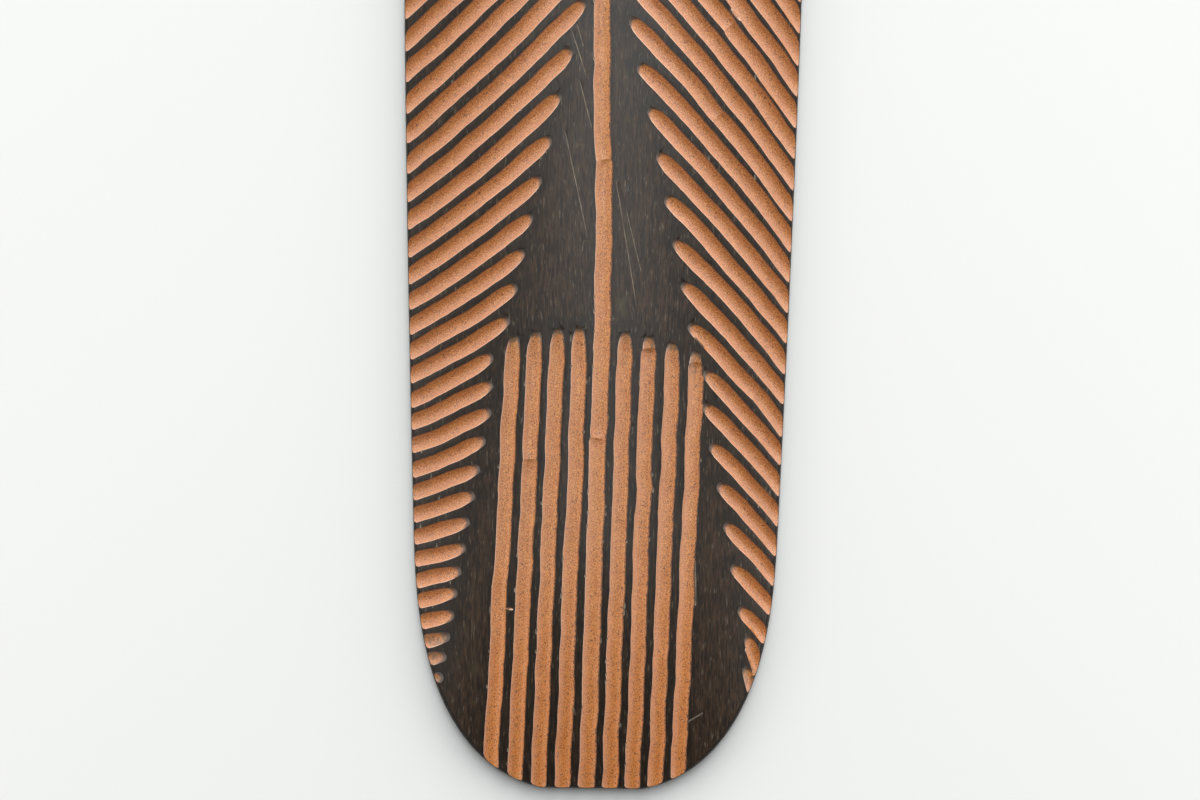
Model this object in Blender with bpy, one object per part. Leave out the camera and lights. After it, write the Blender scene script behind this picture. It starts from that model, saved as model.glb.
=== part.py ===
"""A carved wooden shield, lying on its back.

One thick plank: a low domed face fluted with gouge cuts, a flat back, and a hand grip sunk into the back
and carved from the same wood.  Metres, +Z up.  The back lies on z = 0, the carved face looks up, the
shield's head points along +Y and its foot along -Y.
"""

import math

import bmesh
import bpy
from mathutils import Matrix, Vector

# The plank
LENGTH = 1.200
HALF_WIDTH = 0.1255  # at mid length, where the shield is widest
TAPER = 0.0185  # how far each side would draw in by the very end
TAPER_POWER = 1.4
END_REACH = 0.1634  # length of each rounded end
END_POWER = 2.64  # 2 is an ellipse, more is squarer
END_TRIM = 0.0025  # sawn off each rounded end, which leaves it nearly flat
RIM_HEIGHT = 0.012
FACE_RISE = 0.026  # how far the middle of the face stands above its rim
# The edge is widest at its waist.  It slopes in towards the back and, a little, towards the face
BACK_SHARE = 0.965  # shares of the outline
WAIST_HEIGHT = 0.0055

SIDE_STEPS = 6
END_STEPS = 8
FACE_RINGS = (0.984, 0.84, 0.64, 0.42, 0.20, 0.0)  # shares of the way from the spine to the outline

# The gouge: a round nose of steel, driven along the wood
GROOVE_DEPTH = 0.0030
LEAST_HALF_WIDTH = 0.0046  # half a cut's width across, at the foot
MOST_HALF_WIDTH = 0.0053
FULL_WIDTH_AT = 0.400  # how far up the cuts reach their full width
COMB_HALF_WIDTH = 0.0049
GROOVE_STEP = 0.085  # longest straight piece of a cut
RUN_OUT = 0.009  # how far a cut runs on past the rim
OCTAGON_TURN = math.radians(22.5)  # a flat of the eight-sided rod faces down
NOSE_SHARES = (0.10, 0.55)  # where a rod's round nose is cut into rings, in radii from its tip
BODY_SHARE = 1.3

# The diagonal cuts, a row down each edge.  Heights are measured from the foot.
# (first cut's height at the edge, first spacing, growth of the spacing from cut to cut, largest spacing)
LEFT_EDGE = (0.0682, 0.01172, 1.0202, 0.0200)
RIGHT_EDGE = (0.0975, 0.01870, 1.0025, 0.0200)
LEFT_DRIFT = (0.00132, 2.55, 17.45)  # the spacing wanders by this much, from this cut, over so many cuts
RIGHT_DRIFT = (0.0, 0.0, 20.0)
# (rise per metre of run, the height where it starts to grow, its growth per metre, most)
LEFT_SLOPE = (0.27, 0.137, 2.62, 1.00)
RIGHT_SLOPE = (1.04, 0.250, 0.70, 1.20)
# Their inner tips stay on a line that closes in on the middle: (distance at the foot, lean, curve)
LEFT_TIPS = (0.1065, -0.1376, -0.1125)
RIGHT_TIPS = (0.1122, -0.1738, -0.0487)
NEAREST_TIP = 0.0105
BESIDE_COMB = 0.268  # cuts that start lower than this stay this far from the middle, clear of the comb
CLEAR_OF_COMB = 0.0675
LEFT_BOW = -0.022  # sag of a long cut, as a share of its length
RIGHT_BOW = 0.017
LONG_CUT = 0.060
RIGHT_NICKS = ((0.0686, 0.0758), (0.0800, 0.0950))  # heights of their lower and upper ends
NICK_RISE = 3.2
EDGE_BAND = 0.0011  # the cuts are set out from a line this far inside the outline

# The comb of upright cuts at the foot
COMB_SIDE = 4  # upright cuts on each side of the middle one
COMB_HEIGHT = 0.2853
COMB_TOP_PITCH = 0.0143
COMB_FOOT_PITCH = 0.0147
COMB_SKEW = 0.0006  # the right side is spaced this much wider at the top, and closer at the foot
COMB_SHOULDER = 0.00058  # the outer cuts stop lower, by this times their place squared
COMB_SLANT = 0.0010  # and each stops this much lower than the one on its left

# The grip: two hollows in the back, joined under a bar
HOLLOW_OFFSET = 0.040
HOLLOW_RADII = (0.030, 0.062, 0.026)
PASSAGE_HEIGHT = 0.0205
PASSAGE_RADII = (0.040, 0.048, 0.0085)

HALF_LENGTH = LENGTH / 2
SPINE_END = HALF_LENGTH + END_TRIM - END_REACH


def clear_scene():
    for thing in list(bpy.data.objects):
        bpy.data.objects.remove(thing, do_unlink=True)


def stained_wood():
    material = bpy.data.materials.new("Black-stained wood")
    material.use_nodes = True
    shader = material.node_tree.nodes["Principled BSDF"]
    shader.inputs["Base Color"].default_value = (0.060, 0.045, 0.034, 1)
    shader.inputs["Roughness"].default_value = 0.6
    shader.inputs["Metallic"].default_value = 0.0
    return material


def side_at(y):
    """Half the width that the plank would have at y with no rounded ends."""
    return HALF_WIDTH - TAPER * min(1.0, abs(y) / HALF_LENGTH) ** TAPER_POWER


def reach(x, y):
    """0 on the plank's spine, 1 on its outline and more outside it."""
    past = max(0.0, abs(y) - SPINE_END)
    rounded = ((abs(x) / side_at(y)) ** END_POWER + (past / END_REACH) ** END_POWER) ** (1 / END_POWER)
    return max(rounded, past / (END_REACH - END_TRIM))


def ring_height(share):
    return RIM_HEIGHT + FACE_RISE * (1 - share ** 2)


def faceted_height(x, y):
    """The height of the face as it is built, flat from ring to ring, so that every cut has its full depth."""
    at = reach(x, y)
    outer, inner = next((pair for pair in zip(FACE_RINGS, FACE_RINGS[1:]) if at >= pair[1]))
    low, high = ring_height(outer), ring_height(inner)
    return low + (high - low) * (outer - at) / (outer - inner)


def half_width(y):
    """The outline's distance from the middle at y."""
    past = max(0.0, abs(y) - SPINE_END) / END_REACH
    return side_at(y) * (1 - min(1.0, past) ** END_POWER) ** (1 / END_POWER)


def quarter_outline():
    """Points from the middle of the right side round to the middle of the head."""
    points = [(side_at(SPINE_END * i / SIDE_STEPS), SPINE_END * i / SIDE_STEPS) for i in range(SIDE_STEPS)]
    flat = 1 - END_TRIM / END_REACH
    last = math.asin(flat ** (END_POWER / 2))
    for i in range(END_STEPS + 1):
        angle = last * i / END_STEPS
        y = SPINE_END + END_REACH * math.sin(angle) ** (2 / END_POWER)
        points.append((half_width(y), y))
    return points + [(0.0, HALF_LENGTH)]


def outline():
    """The whole outline, anticlockwise from the middle of the right side."""
    quarter = quarter_outline()
    head = quarter + [(-x, y) for x, y in reversed(quarter[:-1])]
    return head + [(-x, -y) for x, y in head[1:-1]]


def ring(board, share, height):
    """A closed loop of edges at this share of the way from the spine to the outline."""
    corners = []
    for x, y in outline():
        spine = max(-SPINE_END, min(SPINE_END, y))
        corners.append(board.verts.new((x * share, spine + (y - spine) * share, height)))
    return [board.edges.new(pair) for pair in zip(corners, corners[1:] + corners[:1])]


def make_board(material):
    board = bmesh.new()
    below = ring(board, BACK_SHARE, 0.0)
    bmesh.ops.contextual_create(board, geom=below)
    for share, height in [(1.0, WAIST_HEIGHT)] + [(share, ring_height(share)) for share in FACE_RINGS]:
        above = ring(board, share, height)
        bmesh.ops.bridge_loops(board, edges=below + above)
        below = above
    bmesh.ops.remove_doubles(board, verts=board.verts, dist=1e-5)
    bmesh.ops.recalc_face_normals(board, faces=board.faces)
    mesh = bpy.data.meshes.new("shield")
    board.to_mesh(mesh)
    board.free()
    mesh.materials.append(material)
    shield = bpy.data.objects.new("shield", mesh)
    bpy.context.scene.collection.objects.link(shield)
    return shield


def gouge_radius(half_width_cut):
    return (half_width_cut ** 2 + GROOVE_DEPTH ** 2) / (2 * GROOVE_DEPTH)


def inside_part(path):
    """The path without what lies further than RUN_OUT outside the outline."""
    limit = 1 + RUN_OUT / HALF_WIDTH
    return [point for point in path if reach(*point) < limit]


def resample(path, step):
    """(distance, x, y) at the path's start, at even steps and at its end."""
    marks = [0.0]
    for a, b in zip(path, path[1:]):
        marks.append(marks[-1] + math.dist(a, b))
    count = max(2, round(marks[-1] / step))
    found = []
    for i in range(count + 1):
        along = marks[-1] * i / count
        k = max(1, next((j for j, mark in enumerate(marks) if mark >= along - 1e-9), len(marks) - 1))
        t = (along - marks[k - 1]) / (marks[k] - marks[k - 1])
        (ax, ay), (bx, by) = path[k - 1], path[k]
        found.append((along, ax + (bx - ax) * t, ay + (by - ay) * t))
    return found


def add_cut(curve, path, half_width_cut):
    """A rod along the path, round at its start and just above the face, so that it leaves one groove."""
    path = inside_part(path)
    if len(path) < 3 or math.dist(path[0], path[-1]) < 1.2 * half_width_cut:
        return
    radius = gouge_radius(half_width_cut)
    nose = [resample(path, radius * share)[1] for share in NOSE_SHARES]
    body = [station for station in resample(path, GROOVE_STEP) if station[0] > radius * BODY_SHARE]
    points = nose + [resample(path, radius * BODY_SHARE)[1]] + body
    spline = curve.splines.new("POLY")
    spline.points.add(len(points) - 1)
    for point, (along, x, y) in zip(spline.points, points):
        back = max(0.0, 1 - along / radius)
        point.co = (x, y, faceted_height(x, y) + radius - GROOVE_DEPTH, 1)
        point.radius = radius * math.sqrt(1 - back ** 2)
        point.tilt = OCTAGON_TURN


def tip_of(tips, edge, slope):
    """Where a straight cut from the edge meets the line of tips."""
    at_foot, lean, bend = tips
    up = edge.y
    for _ in range(40):
        nearest = CLEAR_OF_COMB if up < BESIDE_COMB else NEAREST_TIP
        inner = max(nearest, at_foot + lean * up + bend * up * up)
        up += 0.5 * (edge.y + slope * (edge.x - inner) - up)
    return Vector((inner, up))


def bowed(tip, edge, bow):
    """Points from the tip to the edge, bent aside by the share bow of the length, and straight on past it."""
    run = edge - tip
    aside = Vector((-run.y, run.x)) * bow * min(1.0, run.length / LONG_CUT)
    points = [tip + run * t + aside * 4 * t * (1 - t) for t in (i / 60 for i in range(61))]
    onward = (points[-1] - points[-2]).normalized()
    return points + [edge + onward * RUN_OUT * i / 4 for i in range(1, 9)]


def add_diagonal(curve, side, path, height):
    full = min(1.0, height / FULL_WIDTH_AT)
    width = LEAST_HALF_WIDTH + (MOST_HALF_WIDTH - LEAST_HALF_WIDTH) * full
    add_cut(curve, [(side * at.x, at.y - HALF_LENGTH) for at in path], width)


def right_nicks(curve):
    """The lowest cuts on the right run almost along the edge."""
    for low, high in RIGHT_NICKS:
        edge = Vector((half_width(low - HALF_LENGTH) - EDGE_BAND, low))
        tip = Vector((edge.x - (high - low) / NICK_RISE, high))
        add_diagonal(curve, 1, bowed(tip, edge, RIGHT_BOW), low)


def diagonal_cuts(curve, side, edge_row, drift, slope_rule, tips, bow):
    """A row of cuts from the tip line out over one edge.  side is 1 on the right and -1 on the left."""
    up, spacing, growth, widest = edge_row
    wander, first, period = drift
    slope, grows_from, steepening, steepest = slope_rule
    number = 0
    while up < LENGTH:
        height = up - wander * math.cos(math.tau * (number - first) / period)
        rise = min(steepest, slope + steepening * max(0.0, height - grows_from))
        edge = Vector((half_width(min(height, LENGTH - END_TRIM) - HALF_LENGTH) - EDGE_BAND, height))
        add_diagonal(curve, side, bowed(tip_of(tips, edge, rise), edge, bow), height)
        up += spacing
        spacing = min(widest, spacing * growth)
        number += 1


def lean_of_comb(up):
    """How far the middle cut stands to the right of the plank's middle."""
    return 0.0026 * min(1, max(0, (0.48 - up) / 0.12)) - 0.0056 * max(0, 1 - up / 0.30)


def upright_cut(curve, place, top, half_width_cut):
    """place counts the cuts from the middle one, to the right."""
    side = (place > 0) - (place < 0)
    path = []
    for i in range(301):
        up = top - (top + 0.02) * i / 300
        share = min(1.0, max(0.0, up / COMB_HEIGHT))
        pitch = COMB_FOOT_PITCH + (COMB_TOP_PITCH - COMB_FOOT_PITCH) * share
        pitch += side * COMB_SKEW * (2 * share - 1)
        path.append((lean_of_comb(up) + place * pitch, up - HALF_LENGTH))
    add_cut(curve, path, half_width_cut)


def comb_cuts(curve):
    for place in range(-COMB_SIDE, COMB_SIDE + 1):
        if place:
            top = COMB_HEIGHT - COMB_SHOULDER * place ** 2 - COMB_SLANT * place
            upright_cut(curve, place, top, COMB_HALF_WIDTH)
    upright_cut(curve, 0, LENGTH + 0.02, MOST_HALF_WIDTH)


def flutes_cutter():
    """Every gouge cut as a rod, in one mesh."""
    curve = bpy.data.curves.new("flutes", "CURVE")
    curve.dimensions = "3D"
    curve.bevel_depth = 1.0
    curve.bevel_resolution = 2
    curve.use_fill_caps = True
    curve.twist_mode = "Z_UP"
    comb_cuts(curve)
    right_nicks(curve)
    diagonal_cuts(curve, -1, LEFT_EDGE, LEFT_DRIFT, LEFT_SLOPE, LEFT_TIPS, LEFT_BOW)
    diagonal_cuts(curve, 1, RIGHT_EDGE, RIGHT_DRIFT, RIGHT_SLOPE, RIGHT_TIPS, RIGHT_BOW)
    guide = bpy.data.objects.new("flutes guide", curve)
    bpy.context.scene.collection.objects.link(guide)
    mesh = bpy.data.meshes.new_from_object(guide.evaluated_get(bpy.context.evaluated_depsgraph_get()))
    bpy.data.objects.remove(guide, do_unlink=True)
    return bpy.data.objects.new("flutes cutter", mesh)


def bowl(name, centre, radii, segments, rings):
    mesh = bpy.data.meshes.new(name)
    ball = bmesh.new()
    bmesh.ops.create_uvsphere(
        ball, u_segments=segments, v_segments=rings, radius=1.0,
        matrix=Matrix.Translation(centre) @ Matrix.Diagonal((*radii, 1)),
    )
    ball.to_mesh(mesh)
    ball.free()
    return bpy.data.objects.new(name, mesh)


def cut_away(body, cutter, keep_self=False):
    bpy.context.scene.collection.objects.link(cutter)
    cutter.hide_render = True
    cutter.display_type = "WIRE"
    boolean = body.modifiers.new(cutter.name, "BOOLEAN")
    boolean.operation = "DIFFERENCE"
    boolean.solver = "EXACT"
    boolean.use_self = keep_self
    boolean.object = cutter


def main():
    clear_scene()
    shield = make_board(stained_wood())
    cut_away(shield, bowl("hollow left", (-HOLLOW_OFFSET, 0, 0), HOLLOW_RADII, 20, 12))
    cut_away(shield, bowl("hollow right", (HOLLOW_OFFSET, 0, 0), HOLLOW_RADII, 20, 12))
    cut_away(shield, bowl("finger passage", (0, 0, PASSAGE_HEIGHT), PASSAGE_RADII, 16, 8))
    cut_away(shield, flutes_cutter(), keep_self=True)


main()
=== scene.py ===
# %% [markdown]
# # A carved wooden shield, lying on its back
#
# The real thing is one long plank of hardwood with a low domed face.  The face was blackened all over, and
# a round gouge was then pushed through the black, so that each cut lays bare wood to rub with ochre.  Two
# hollows in the back leave a bar between them, which is the hand grip.
#
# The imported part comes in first.  It is the fixed frame: the shield's size and place are read from it.

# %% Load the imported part
import math
import random

import bpy
import numpy as np
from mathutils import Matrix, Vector, noise
from mathutils.kdtree import KDTree


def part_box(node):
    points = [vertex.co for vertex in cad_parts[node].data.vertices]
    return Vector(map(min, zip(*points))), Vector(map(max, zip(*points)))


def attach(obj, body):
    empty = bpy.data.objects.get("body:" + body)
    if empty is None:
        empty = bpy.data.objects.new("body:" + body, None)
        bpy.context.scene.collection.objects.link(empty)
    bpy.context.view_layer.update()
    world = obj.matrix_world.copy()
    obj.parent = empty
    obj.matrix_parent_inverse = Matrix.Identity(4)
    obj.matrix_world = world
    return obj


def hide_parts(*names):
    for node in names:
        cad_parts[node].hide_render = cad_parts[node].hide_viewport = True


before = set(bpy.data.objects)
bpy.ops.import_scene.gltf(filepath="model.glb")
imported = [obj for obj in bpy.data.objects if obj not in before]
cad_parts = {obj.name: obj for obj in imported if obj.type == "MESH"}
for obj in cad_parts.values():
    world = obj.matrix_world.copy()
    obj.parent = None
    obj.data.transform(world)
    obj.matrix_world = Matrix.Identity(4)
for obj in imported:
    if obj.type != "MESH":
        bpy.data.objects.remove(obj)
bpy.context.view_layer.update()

board_low, board_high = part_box("shield")
LENGTH = board_high.y - board_low.y
HALF_LENGTH = LENGTH / 2
HALF_WIDTH = (board_high.x - board_low.x) / 2

# %% [markdown]
# ## The shape of the plank
#
# The two sides draw in a little towards the ends, and each end is a superellipse: with a power of 2 it would
# be an ellipse, and a larger power makes it squarer.  `reach` is 0 on the spine of the plank and 1 on its
# outline, and the face falls away from the spine with the square of it.

# %% The plan and the dome
TAPER = 0.0185  # how far each side would draw in by the very end
TAPER_POWER = 1.4
END_REACH = 0.1634  # length of each rounded end
END_POWER = 2.64
END_TRIM = 0.0025  # sawn off each rounded end, which leaves it nearly flat
SPINE_END = HALF_LENGTH + END_TRIM - END_REACH
RIM_HEIGHT = 0.012
FACE_RISE = board_high.z - RIM_HEIGHT
WAVINESS = 0.00035  # how deep the scraper has gone here and there
WAVE_LENGTH = Vector((0.020, 0.075, 1.0))


def side_at(y):
    """Half the width that the plank would have at y with no rounded ends."""
    return HALF_WIDTH - TAPER * min(1.0, abs(y) / HALF_LENGTH) ** TAPER_POWER


def reach(x, y):
    past = max(0.0, abs(y) - SPINE_END)
    rounded = ((abs(x) / side_at(y)) ** END_POWER + (past / END_REACH) ** END_POWER) ** (1 / END_POWER)
    return max(rounded, past / (END_REACH - END_TRIM))


def half_width(y):
    """The outline's distance from the middle at y."""
    past = max(0.0, abs(y) - SPINE_END) / END_REACH
    return side_at(y) * (1 - min(1.0, past) ** END_POWER) ** (1 / END_POWER)


def face_height(x, y):
    dome = RIM_HEIGHT + FACE_RISE * (1 - reach(x, y) ** 2)
    scraped = 0.5 + 0.5 * noise.noise(Vector((x / WAVE_LENGTH.x, y / WAVE_LENGTH.y, 4.0)))
    return dome - WAVINESS * scraped


# %% [markdown]
# ## Helpers for modelling
#
# Every piece is made as by hand: a primitive, some edit-mode operators, and modifiers that are applied.  An
# operator works on all that is selected, so each step starts by selecting only what it works on.

# %% Select, cut and stack
FINISH_NAMES = (
    "hardwood blackened with soot and oil",
    "ochre rubbed into the gouge cuts",
    "blackened edge of the plank",
    "oiled hardwood dressed with an adze",
    "hardwood polished by the hand",
    "wood laid bare by a chip or a scratch",
)
FACE, CUT, EDGE, BACK, GRIP, BARE = range(len(FINISH_NAMES))
finishes = [bpy.data.materials.new(name) for name in FINISH_NAMES]  # empty until the cells on finishes


def select_only(*things):
    bpy.ops.object.select_all(action="DESELECT")
    for thing in things:
        thing.select_set(True)
    bpy.context.view_layer.objects.active = things[0]


def edit_all(thing):
    """Opens the piece in edit mode with every face selected."""
    select_only(thing)
    bpy.ops.object.mode_set(mode="EDIT")
    bpy.ops.mesh.select_all(action="SELECT")


def drawn_out(add_primitive, stretch, place=(0, 0, 0), **settings):
    """A new primitive, stretched and then moved to its place, and left in edit mode."""
    bpy.ops.object.select_all(action="DESELECT")
    add_primitive(**settings)
    thing = bpy.context.object
    edit_all(thing)
    bpy.ops.transform.resize(value=stretch, center_override=(0, 0, 0))
    bpy.ops.transform.translate(value=place)
    return thing


def close_edit(thing, finish):
    """Turns the faces outwards, leaves edit mode and gives every face this finish."""
    bpy.ops.mesh.select_all(action="SELECT")
    bpy.ops.mesh.normals_make_consistent(inside=False)
    bpy.ops.object.mode_set(mode="OBJECT")
    for material in finishes:
        thing.data.materials.append(material)
    thing.data.polygons.foreach_set("material_index", [finish] * len(thing.data.polygons))


def apply_boolean(body, tool, operation):
    """Cuts the body with the tool, and throws the tool away."""
    modifier = body.modifiers.new(tool.name, "BOOLEAN")
    modifier.operation = operation
    modifier.solver = "MANIFOLD"
    modifier.object = tool
    select_only(body)
    bpy.ops.object.modifier_apply(modifier=modifier.name)
    bpy.data.objects.remove(tool, do_unlink=True)


def stack_loops(name, outline, steps, finish):
    """A closed solid with this outline, drawn in by (inset, height) at each step from its first loop to its last."""
    bpy.ops.object.select_all(action="DESELECT")
    bpy.ops.mesh.primitive_circle_add(vertices=len(outline), radius=1.0, fill_type="NGON")
    solid = bpy.context.object
    solid.name = name
    wide, long = (max(point[axis] for point in outline) for axis in (0, 1))
    first_inset, first_height = steps[0]
    for vertex, (x, y) in zip(solid.data.vertices, outline):
        vertex.co = (x * (1 - first_inset / wide), y * (1 - first_inset / long), first_height)
    edit_all(solid)
    for (inset, height), (next_inset, next_height) in zip(steps, steps[1:]):
        bpy.ops.mesh.extrude_region_move(TRANSFORM_OT_translate={"value": (0, 0, next_height - height)})
        narrower = (wide - next_inset) / (wide - inset)
        shorter = (long - next_inset) / (long - inset)
        bpy.ops.transform.resize(value=(narrower, shorter, 1), center_override=(0, 0, 0))
    close_edit(solid, finish)
    return solid


# %% [markdown]
# ## The plank
#
# The plank starts as a grid, fine enough to bend over the dome, and extruding it makes a slab.  A stack of
# loops cuts the slab to the outline.  The stack draws in towards the back, as the real edge does, and rounds
# over where the edge meets the face, so the arris is softened and needs no bevel.

# %% The outline and the edge
SIDE_STEPS = 60
END_STEPS = 44
# The edge from the back to the face, as (how far inside the outline, height)
EDGE_PROFILE = (
    (0.0052, 0.0), (0.0044, 0.0003), (0.0038, 0.0011), (0.0015, 0.0034), (0.0003, 0.0049), (0.0000, 0.0058),
    (0.0002, 0.0069), (0.0004, 0.0080), (0.0006, 0.0092), (0.0009, 0.0104), (0.0014, 0.0115), (0.0022, 0.0123),
)


def outline():
    """Points round the plank, closer together on the rounded ends."""
    side = [(side_at(y), y) for y in np.linspace(0, SPINE_END, SIDE_STEPS, endpoint=False)]
    last = math.asin((1 - END_TRIM / END_REACH) ** (END_POWER / 2))
    ends = [SPINE_END + END_REACH * math.sin(angle) ** (2 / END_POWER) for angle in np.linspace(0, last, END_STEPS)]
    quarter = side + [(half_width(y), y) for y in ends] + [(0.0, HALF_LENGTH)]
    head = quarter + [(-x, y) for x, y in reversed(quarter[:-1])]
    return head + [(-x, -y) for x, y in head[1:-1]]


print("the outline has", len(outline()), "points")

# %% Saw the plank out
GRID_CELL = 0.005
MARGIN = 0.004  # the slab is this much larger than the plank all round
SLAB_TOP = 1.0  # far above the face, until the grid is bent down to it
ADZE_DEPTH = 0.0006  # the back is flat, with shallow scoops left by the adze
ADZE_LENGTH = Vector((0.030, 0.055, 1.0))
ADZE_RIDGE = 1.6  # how quickly a scoop rises to the ridges round it


def back_height(x, y):
    """Scoops with ridges between them, in a back that is otherwise at 0."""
    nearest = noise.voronoi(Vector((x / ADZE_LENGTH.x, y / ADZE_LENGTH.y, 2.0)))[0][0]
    return ADZE_DEPTH * max(0.0, 1 - ADZE_RIDGE * nearest * nearest)


def make_slab():
    wide, long = 2 * (HALF_WIDTH + MARGIN), 2 * (HALF_LENGTH + MARGIN)
    slab = drawn_out(
        bpy.ops.mesh.primitive_grid_add, (wide, long, 1),
        x_subdivisions=round(wide / GRID_CELL), y_subdivisions=round(long / GRID_CELL), size=1.0
    )
    bpy.ops.mesh.extrude_region_move(TRANSFORM_OT_translate={"value": (0, 0, SLAB_TOP)})
    close_edit(slab, FACE)
    for polygon in slab.data.polygons:
        if polygon.center.z < SLAB_TOP / 2:
            polygon.material_index = BACK
    for vertex in slab.data.vertices:
        x, y, z = vertex.co
        on_top = z > SLAB_TOP / 2
        vertex.co.z = max(RIM_HEIGHT / 2, face_height(x, y)) if on_top else back_height(x, y)
    return slab


def make_plank():
    slab = make_slab()
    below, above = (EDGE_PROFILE[0][0], -MARGIN), (EDGE_PROFILE[-1][0], 2 * board_high.z)
    saw = stack_loops("sawn outline", outline(), [below, *EDGE_PROFILE, above], EDGE)
    apply_boolean(slab, saw, "INTERSECT")
    return slab


shield = make_plank()
shield.name = "carved_shield"
print("the plank has", len(shield.data.polygons), "faces")

# %% [markdown]
# ## The hand grip
#
# Two hollows are cut in the back, and they meet under a bar that is left standing, level with the back.  Each
# is a bowl with a rounded lip, again a stack of loops: the lip draws in quickly, and the bowl follows a
# quarter of an ellipse.

# %% Hollow out the grip
HOLLOW_OFFSET = 0.040
HOLLOW_RADII = (0.030, 0.062, 0.026)
PASSAGE_HEIGHT = 0.0205
PASSAGE_RADII = (0.040, 0.048, 0.0085)
HOLLOW_SIDES = 56
BOWL_STEPS = 12
LIP = 0.0016
LIP_TURNS = range(0, 90, 18)  # degrees that the rounded lip has turned through at each loop


def bowl_steps(wide, high):
    turned = [math.radians(turn) for turn in LIP_TURNS]
    lip = [(LIP * math.sin(turn), LIP * (1 - math.cos(turn))) for turn in turned]
    angles = [math.pi / 2 * i / BOWL_STEPS for i in range(1, BOWL_STEPS)]
    bowl = [(LIP + wide * (1 - math.cos(a)), high * math.sin(a)) for a in angles]
    return [(-LIP, -LIP)] + lip + [(inset, max(height, LIP)) for inset, height in bowl]


def hollow_out_grip():
    wide, long, high = HOLLOW_RADII
    turns = [math.tau * i / HOLLOW_SIDES for i in range(HOLLOW_SIDES)]
    mouth = [((wide + LIP) * math.cos(turn), (long + LIP) * math.sin(turn)) for turn in turns]
    for side in (-1, 1):
        bowl = stack_loops("hollow", mouth, bowl_steps(wide, high), GRIP)
        edit_all(bowl)
        bpy.ops.transform.translate(value=(side * HOLLOW_OFFSET, 0, 0))
        bpy.ops.object.mode_set(mode="OBJECT")
        apply_boolean(shield, bowl, "DIFFERENCE")
    passage = drawn_out(
        bpy.ops.mesh.primitive_uv_sphere_add, PASSAGE_RADII, (0, 0, PASSAGE_HEIGHT),
        segments=HOLLOW_SIDES, ring_count=BOWL_STEPS * 2, radius=1.0
    )
    close_edit(passage, GRIP)
    apply_boolean(shield, passage, "DIFFERENCE")


hollow_out_grip()

# %% [markdown]
# ## The gouge
#
# A gouge is a steel blade with a rounded edge.  It leaves a groove with a round bottom, and the deeper it
# goes the wider the groove.  So the tool that cuts the model is a round rod lying almost wholly above the
# face: where it dips lower it cuts both deeper and wider, as the real one does.
#
# Most cuts are one push from the tip to the edge, which starts shallow and so with a rounded tip.  The
# midrib and a few others took more, and a later push starts with the curved mark of the blade, not quite in
# line with the one before it.  Every push wanders, and goes deeper and shallower with the strokes of the
# mallet, which makes the rows look hand-made.

# %% How the gouge cuts
GROOVE_DEPTH = 0.0030
LEAST_HALF_WIDTH = 0.0046  # half a cut's width across, at the foot
MOST_HALF_WIDTH = 0.0053
FULL_WIDTH_AT = 0.400  # how far up the cuts reach their full width
RUN_OUT = 0.009  # how far a cut runs on past the rim
STATION_STEP = 0.0044
NOSE_SHARES = (0.02, 0.10, 0.24, 0.42, 0.65, 0.92)  # where the rod's round nose has its rings, in radii
ENTRY_SHARES = (0.10, 0.24)  # a cut starts this deep, as a share of its full depth
ENTRY_LENGTH = 0.0185
ENTRY_LEAD = 0.0038  # so it also starts this much sooner
WANDER = 0.00090
WANDER_LENGTH = 0.024
JITTER = 0.00042
JITTER_LENGTH = 0.0085
RIPPLE = 0.00048  # the depth comes and goes by this much with the strokes of the mallet
RIPPLE_LENGTH = 0.017


def gouge_radius(half_width_cut):
    return (half_width_cut ** 2 + GROOVE_DEPTH ** 2) / (2 * GROOVE_DEPTH)


def smooth(share):
    share = min(1.0, max(0.0, share))
    return share * share * (3 - 2 * share)


def wander_at(at, number, shift):
    """How far aside a push has strayed at this distance from the tip.  The odd factors keep the cuts unlike."""
    strayed = shift + WANDER * noise.noise(Vector((at / WANDER_LENGTH, number * 3.7, 1.0)))
    return strayed + JITTER * noise.noise(Vector((at / JITTER_LENGTH, number * 7.9, 4.0)))


def depth_at(at, number):
    return GROOVE_DEPTH + RIPPLE * noise.noise(Vector((at / RIPPLE_LENGTH, number * 5.3, 9.0)))


# %% One push
PUSH_OVERLAP = 0.012
PUSH_SHIFT = 0.00030  # sideways, from one push to the next
PUSH_BITE = 0.00003  # each later push bites in this much deeper where it starts
BITE_SHARES = (0.5, 1.3)  # give or take these shares of it
BITE_LENGTH = 0.030
SHORT_PUSH = 0.030  # a first push shorter than this was only a trial
TRIAL_DEPTH = 0.93  # and went only this deep, as a share

pushes = []  # (group, number of the cut, stations, half width, is it a trial) of each push


def station_marks(start, end, radius):
    """Distances from the tip for one push: close together round the rod's nose, then evenly spaced."""
    nose = [start + radius * share for share in NOSE_SHARES]
    count = max(2, round((end - nose[-1]) / STATION_STEP))
    return np.array(nose + list(np.linspace(nose[-1], end, count + 1)[1:]))


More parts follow.
